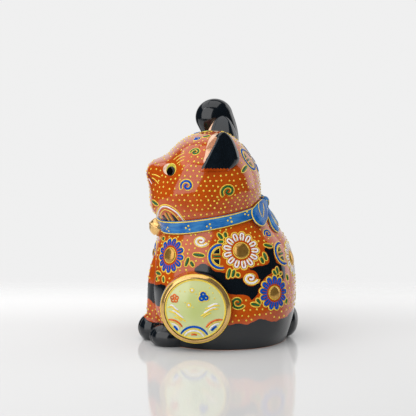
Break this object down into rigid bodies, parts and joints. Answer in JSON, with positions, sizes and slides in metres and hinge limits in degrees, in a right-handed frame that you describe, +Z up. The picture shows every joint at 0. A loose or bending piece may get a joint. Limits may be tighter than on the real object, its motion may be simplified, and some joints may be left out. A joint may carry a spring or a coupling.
{
  "type": "lucky cat figurine",
  "caption": "Sitting porcelain cat with a raised paw, collar, bow, bell and haunch medallions; a free-standing ornament covered in raised enamel.",
  "frame": {"origin": "middle of the figure's bounding box on the floor", "axes": "+Z up, -Y the way the cat looks, +X the cat's left side"},
  "size_m": [0.083, 0.0861, 0.1244],
  "materials": {
    "persimmon_enamel": "glossy glaze",
    "black_enamel": "glossy glaze",
    "blue_enamel": "glossy glaze",
    "pale_green_enamel": "glossy glaze",
    "gilding": "burnished gold"
  },
  "bodies": {
    "root": {"body_shell": "persimmon_enamel", "head_shell": "persimmon_enamel", "left_foreleg": "persimmon_enamel", "raised_right_arm": "black_enamel", "tail": "black_enamel", "left_ear": "black_enamel", "right_ear": "black_enamel", "left_hind_foot": "black_enamel", "right_hind_foot": "black_enamel", "left_haunch": "black_enamel", "right_haunch": "black_enamel", "left_medallion_rim": "gilding", "right_medallion_rim": "gilding", "left_medallion_panel": "pale_green_enamel", "right_medallion_panel": "pale_green_enamel", "collar_ribbon": "blue_enamel", "bow_knot": "blue_enamel", "bow_left_loop": "blue_enamel", "bow_right_loop": "blue_enamel", "bow_left_streamer": "blue_enamel", "bow_right_streamer": "blue_enamel", "bell": "gilding"}
  },
  "joints": []
}
